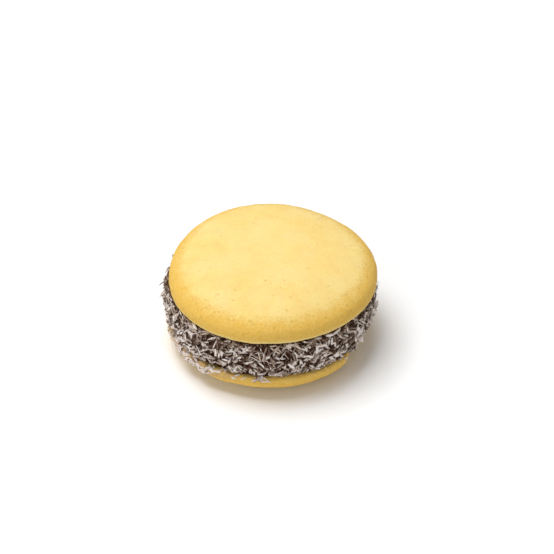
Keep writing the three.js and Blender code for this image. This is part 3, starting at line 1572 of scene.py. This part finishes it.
@dataclass
class Studio:
    """Pale floor, soft light and the camera."""

    elevation: float = math.radians(39.3)
    distance: float = 0.6
    aim: Vector = field(default_factory=lambda: Vector((0.0, 0.0, 15 * MM)))
    aside: float = 2.07 * MM
    above: float = 4.33 * MM
    view_width: float = 161.1 * MM  # at that distance
    sensor_width: float = 36.0
    floor: Colour = (0.95, 0.95, 0.95)
    floor_fade: tuple[float, float] = (0.6, 0.3)  # gone this far out, and whole within this
    surround: float = 0.36  # how strongly the white surround lights the scene
    seen_surround: float = 0.65  # how much brighter the camera sees it
    lamps: tuple[Lamp, ...] = (
        Lamp("soft_box", (-0.3, 0.15, 1.2), 0.8, 13.1),
        Lamp("fill", (-0.65, -0.9, 0.75), 0.8, 2.4),
    )

    def build(self) -> None:
        """Sets up everything that isn't the sandwich."""
        self.lay_floor()
        self.light()
        self.place_camera()
        bpy.context.scene.view_settings.view_transform = "Standard"

    def lay_floor(self) -> None:
        """A pale floor at height 0 that fades into the white surround."""
        form = bmesh.new()
        bmesh.ops.create_grid(form, x_segments=8, y_segments=8, size=self.floor_fade[0])
        mesh = bpy.data.meshes.new("floor")
        form.to_mesh(mesh)
        form.free()
        material, nodes, shader = new_finish("pale_floor")
        shader.inputs["Base Color"].default_value = (*self.floor, 1.0)
        shader.inputs["Roughness"].default_value = 0.9
        shader.inputs["Specular IOR Level"].default_value = 0.1
        away = nodes.add("ShaderNodeVectorMath", operation="LENGTH")
        nodes.feed(away.inputs[0], nodes.place())
        nodes.feed(shader.inputs["Alpha"], nodes.eased(away.outputs["Value"], *self.floor_fade))
        mesh.materials.append(material)
        floor = bpy.data.objects.new("floor", mesh)
        bpy.context.scene.collection.objects.link(floor)

    def light(self) -> None:
        """A white surround, a large soft box over the sandwich and a fill light."""
        world = bpy.data.worlds.new("studio")
        world.use_nodes = True
        nodes = Nodes(world.node_tree)
        background = world.node_tree.nodes["Background"]
        seen = nodes.add("ShaderNodeLightPath").outputs["Is Camera Ray"]
        background.inputs["Color"].default_value = (1.0, 1.0, 1.0, 1.0)
        strength = nodes.maths("MULTIPLY_ADD", seen, self.seen_surround, self.surround)
        nodes.feed(background.inputs["Strength"], strength)
        bpy.context.scene.world = world
        for lamp in self.lamps:
            lamp.hang()

    def place_camera(self) -> None:
        """A long lens, looking down on the sandwich from the front."""
        back = Vector((0.0, -math.cos(self.elevation), math.sin(self.elevation)))
        upward = Vector((0.0, math.sin(self.elevation), math.cos(self.elevation)))
        lens = bpy.data.cameras.new("camera")
        lens.sensor_width = self.sensor_width
        lens.lens = lens.sensor_width * self.distance / self.view_width
        camera = bpy.data.objects.new("camera", lens)
        camera.location = self.aim + back * self.distance + upward * self.above
        camera.location.x += self.aside
        camera.rotation_mode = "QUATERNION"
        camera.rotation_quaternion = (-back).to_track_quat("-Z", "Y")
        bpy.context.scene.collection.objects.link(camera)
        bpy.context.scene.camera = camera


# ---------------------------------------------------------------- the sandwich

UPPER_OUTLINE = Outline(((3, 0.0125, -0.0065), (4, 0.0015, 0.002)))
LOWER_OUTLINE = Outline(((2, -0.0075, 0.0005), (5, 0.002, 0.003)))

SHREDS = Bits(
    name="coconut_shreds",
    count=2500,
    length=(0.9 * MM, 2.9 * MM),
    shortness=1.4,
    width=(0.4 * MM, 0.85 * MM),
    thickness=(0.18 * MM, 0.34 * MM),
    cuts=(3, 1),
    bend=0.03,
    roll=0.6,
    twist=0.4,
    taper=0.75,
    torn=0.2,
    lift=0.3,
    tone=(0.2, 1.65),
    layers=4,
)
FLAKES = replace(
    SHREDS,
    name="coconut_flakes",
    count=140,
    length=(1.4 * MM, 3.0 * MM),
    shortness=1.0,
    width=(0.7 * MM, 1.2 * MM),
    roll=0.4,
    twist=0.3,
    lift=0.15,
    tone=(0.2, 1.4),
    layers=1,
    spills=False,
)
THREADS = replace(
    SHREDS,
    name="coconut_threads",
    count=110,
    length=(1.4 * MM, 3.4 * MM),
    shortness=1.5,
    width=(0.26 * MM, 0.42 * MM),
    thickness=(0.14 * MM, 0.24 * MM),
    cuts=(4, 0),
    bend=0.06,
    twist=0.6,
    lift=0.2,
    tone=(0.3, 1.5),
    layers=1,
)
MASH = replace(
    SHREDS,
    name="coconut_mash",
    count=1500,
    length=(0.5 * MM, 1.6 * MM),
    shortness=1.2,
    width=(0.25 * MM, 0.6 * MM),
    thickness=(0.2 * MM, 0.4 * MM),
    cuts=(1, 0),
    lift=0.1,
    tone=(-0.1, 0.55),
    layers=2,
    spills=False,
)
GRAINS = Lumps(
    name="coconut_grains",
    count=700,
    size=(0.14 * MM, 0.38 * MM),
    stretch=(0.35, 1.3),
    heights=(0.2 * MM, 11.6 * MM),
    gathered=0.1,
    slot=Slot.COCONUT,
    attribute="tone",
    values=(-0.1, 0.75),
)
DUST = replace(
    GRAINS,
    name="coconut_dust",
    count=80,
    size=(0.12 * MM, 0.3 * MM),
    heights=(-2.5 * MM, 0.3 * MM),
    gathered=0.5,
    values=(0.5, 1.0),
)
CRUMBS = Lumps(
    name="biscuit_crumbs",
    count=40,
    size=(0.2 * MM, 0.5 * MM),
    stretch=(0.5, 1.2),
    heights=(-2.2 * MM, 1.5 * MM),
    gathered=0.6,
    slot=Slot.BISCUIT,
    attribute="baked",
    values=(0.0, 0.8),
)
CRUMB_FINISH = BiscuitFinish(
    "biscuit_crumb",
    crown=(0.74, 0.55, 0.30),
    warm=(0.68, 0.46, 0.23),
    rim=(0.46, 0.29, 0.13),
)


def report(piece: bpy.types.Object) -> None:
    """Says how many triangles a piece has."""
    piece.data.calc_loop_triangles()
    LOG.info("%s: %d triangles", piece.name, len(piece.data.loop_triangles))


def sandwich() -> Iterator[bpy.types.Object]:
    """Builds the sandwich.

    Yields:
        Each piece, when it is finished.
    """
    effects = Effects(mottle_group(), fleck_group())
    spill = Spill()
    lower = Biscuit(
        node="biscuit_bottom",
        finish=BiscuitFinish("lower_biscuit"),
        outline=LOWER_OUTLINE,
        round=2.62,
        crown=2.45,
        up=-1,
        phase=1.3,
        pores=Pores(150),
        wear=Wear(side=spill.side, width=math.radians(42), depth=0.8 * MM),
        chip=Chip(side=math.radians(340), width=math.radians(17), depth=2.0 * MM),
        rest_spot=10 * MM,
        lumps=0.25 * MM,
        pale_and_lit_edge=0.2,
    )
    upper = Biscuit(
        node="biscuit_top",
        finish=BiscuitFinish("upper_biscuit"),
        outline=UPPER_OUTLINE,
        round=2.7,
        crown=2.62,
        up=1,
        phase=0.0,
        pores=Pores(90),
    )
    filling = Filling(CaramelFinish())
    standing = [lower.build(effects), filling.build(effects), upper.build(effects)]
    yield from standing
    pile = Pile(standing)
    coconut = CoconutFinish()
    yield from Coat(filling, coconut, (MASH, SHREDS, FLAKES, THREADS), spill).build(pile, effects)
    loose = Loose(filling, spill)
    draw = np.random.default_rng(LOOSE_SEED)
    grain = coconut.material(effects)
    yield loose.build(GRAINS, grain, pile, draw)
    yield loose.build(DUST, grain, pile, draw)
    yield loose.build(CRUMBS, CRUMB_FINISH.material(effects), pile, draw)


def main() -> None:
    """Builds the studio and the sandwich, and notes their sizes."""
    logging.basicConfig(level=logging.INFO, format="%(name)s: %(message)s")
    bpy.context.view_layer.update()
    Studio().build()
    for piece in sandwich():
        report(piece)


if __name__ == "__main__":
    main()
